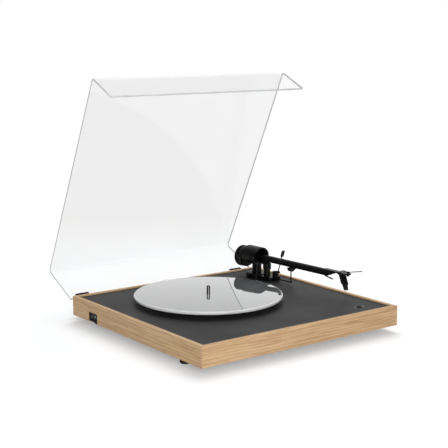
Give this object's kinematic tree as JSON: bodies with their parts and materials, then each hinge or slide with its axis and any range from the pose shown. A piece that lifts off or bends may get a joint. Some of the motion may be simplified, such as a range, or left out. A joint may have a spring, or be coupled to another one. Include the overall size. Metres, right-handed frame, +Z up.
{
  "type": "turntable record player",
  "caption": "Belt-drive record player: wooden plinth, glass platter, straight black tonearm with cue lift and rest, and a bent clear lid on rear hinges.",
  "frame": {"origin": "on the spindle axis at the platter's top face, where a record lies", "axes": "+Z up along the spindle, +X to the tonearm side, +Y to the hinge side at the rear"},
  "size_m": [0.473, 0.5536, 0.4969],
  "materials": {
    "oak": "satin, straight horizontal grain",
    "softwood": "sawn",
    "deck_black": "fine mottled grain",
    "base_board": "matt",
    "rubber": "matt",
    "zinc_steel": "zinc plated",
    "chrome": "polished",
    "bearing_brass": "turned",
    "bearing_alloy": "turned",
    "platter_glass": "polished",
    "black_plastic": "fine satin",
    "dark_rocker": "satin",
    "button_black": "satin",
    "board_green": "solder mask",
    "gold_plate": "plated",
    "clear_acrylic": "clear, polished",
    "hinge_black": "satin",
    "arm_black": "black anodised, satin",
    "weight_black": "satin",
    "fine_steel": "dark, satin",
    "stylus_plastic": "satin"
  },
  "bodies": {
    "plinth": {"arm_base": "arm_black", "arm_pillar": "arm_black", "base_plate": "base_board", "base_screws": "zinc_steel", "bearing_bush": "bearing_brass", "bearing_cap": "zinc_steel", "bearing_housing": "bearing_alloy", "board_standoffs": "black_plastic", "button_switch": "black_plastic", "connector_panel": "black_plastic", "control_board": "board_green", "corner_blocks": "softwood", "deck_panel": "deck_black", "drive_belt": "rubber", "earth_post": "gold_plate", "feet": "rubber", "foot_screws": "zinc_steel", "front_rail": "oak", "hinge_brackets": "hinge_black", "hinge_pins": "zinc_steel", "hinge_screws": "zinc_steel", "left_rail": "oak", "lever_bearing": "black_plastic", "lift_cylinder": "black_plastic", "motor_body": "zinc_steel", "motor_plate": "bearing_alloy", "motor_screws": "zinc_steel", "power_inlet": "black_plastic", "rear_rail": "oak", "rest_bracket": "fine_steel", "rest_clip": "black_plastic", "right_rail": "oak", "signal_sockets": "gold_plate", "switch_housing": "black_plastic", "thrust_ball": "zinc_steel"},
    "lid": {"lid_cover": "clear_acrylic", "lid_bumpers": "clear_acrylic", "hinge_leaves": "hinge_black"},
    "platter": {"glass_platter": "platter_glass", "sub_platter": "black_plastic", "spindle": "chrome"},
    "pulley": {"motor_pulley": "bearing_brass", "motor_shaft": "zinc_steel"},
    "yoke": {"bearing_yoke": "arm_black", "yaw_shaft": "bearing_alloy", "pivot_pins": "zinc_steel"},
    "arm": {"arm_tube": "arm_black", "tail_stub": "arm_black", "headshell": "arm_black", "finger_lift": "fine_steel", "cartridge": "black_plastic", "stylus_insert": "stylus_plastic", "cartridge_screws": "zinc_steel"},
    "weight": {"counterweight": "weight_black"},
    "lift": {"lift_bar": "fine_steel"},
    "lever": {"cue_lever": "fine_steel"},
    "rocker": {"power_rocker": "dark_rocker"},
    "button": {"speed_button": "button_black"}
  },
  "joints": [
    {"name": "lid_hinge", "type": "hinge", "parent": "plinth", "child": "lid", "pos_m": [0.03, 0.2074, -0.0336], "axis": [-1, 0, 0], "range_deg": [-64.3, 10]},
    {"name": "platter_spin", "type": "hinge", "parent": "plinth", "child": "platter", "pos_m": [0, 0, 0], "axis": [0, 0, 1], "continuous": true},
    {"name": "pulley_spin", "type": "hinge", "parent": "plinth", "child": "pulley", "pos_m": [-0.078, 0.058, -0.011], "axis": [0, 0, 1], "continuous": true},
    {"name": "arm_yaw", "type": "hinge", "parent": "plinth", "child": "yoke", "pos_m": [0.215, 0.114, 0.03], "axis": [0, 0, -1], "range_deg": [0, 53]},
    {"name": "arm_pitch", "type": "hinge", "parent": "yoke", "child": "arm", "pos_m": [0.215, 0.114, 0.03], "axis": [-0.9976, -0.0698, 0], "range_deg": [0, 3.5]},
    {"name": "weight_slide", "type": "slide", "parent": "arm", "child": "weight", "axis": [-0.0698, 0.9976, 0], "range_m": [0, 0.008]},
    {"name": "cue_turn", "type": "hinge", "parent": "plinth", "child": "lever", "pos_m": [0.23545, 0.06531, -0.0003], "axis": [-0.9976, -0.0698, 0], "range_deg": [0, 55]},
    {"name": "lift_slide", "type": "slide", "parent": "plinth", "child": "lift", "axis": [0, 0, -1], "range_m": [0, 0.006]},
    {"name": "power_switch", "type": "hinge", "parent": "plinth", "child": "rocker", "pos_m": [-0.197, 0.107, -0.0404], "axis": [0, -1, 0], "range_deg": [0, 20]},
    {"name": "speed_press", "type": "slide", "parent": "plinth", "child": "button", "axis": [0, 0, -1], "range_m": [0, 0.0015], "stiffness_N_per_m": 400, "springref_m": -0.001}
  ],
  "couplings": [
    {"joint": "pulley_spin", "follows": "platter_spin", "ratio": 8.027},
    {"joint": "lift_slide", "follows": "cue_turn", "m_per_rad": 0.00625}
  ]
}
